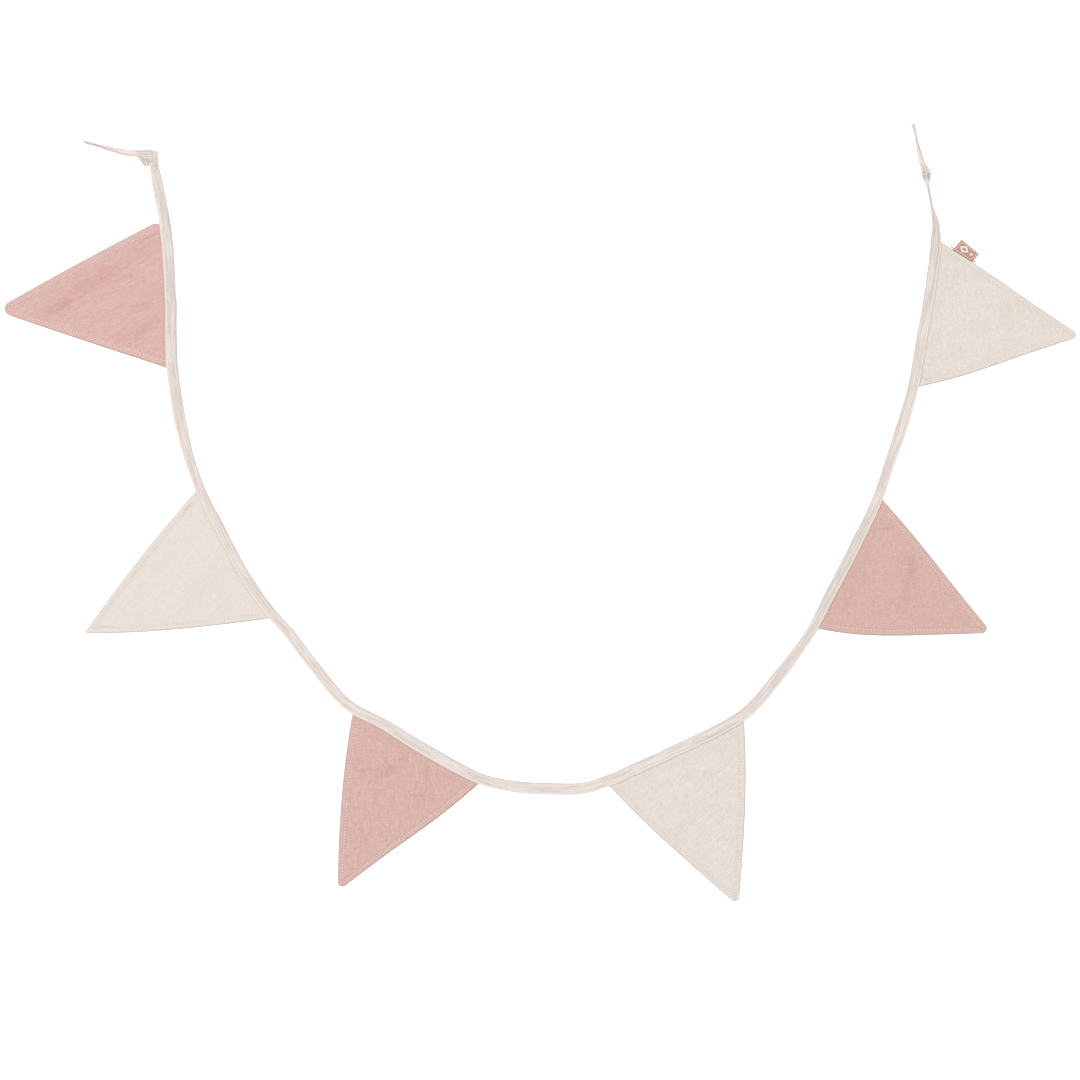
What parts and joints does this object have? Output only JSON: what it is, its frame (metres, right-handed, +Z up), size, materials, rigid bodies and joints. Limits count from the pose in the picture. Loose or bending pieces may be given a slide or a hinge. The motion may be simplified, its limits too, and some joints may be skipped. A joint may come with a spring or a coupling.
{
  "type": "cloth bunting with triangular pennants",
  "caption": "String of turned double-muslin pennants in rose and cream, held in a folded cotton tape with a knotted loop at each end, laid out flat in a deep curve.",
  "frame": {"origin": "middle of the bunting's box, on the surface that it lies on", "axes": "+X to the right across the curve's open ends, +Y from the lowest bend towards the two ends, +Z up from the surface"},
  "size_m": [1.2324, 0.8944, 0.0111],
  "materials": {
    "rose": "matte double muslin",
    "cream": "matte double muslin",
    "tape": "matte cotton tape",
    "label": "woven label"
  },
  "bodies": {
    "root": {"binding_tape": "tape", "pennant_1": "rose", "pennant_2": "cream", "pennant_3": "rose", "pennant_4": "cream", "pennant_5": "rose", "pennant_6": "cream", "label": "label"}
  },
  "joints": []
}
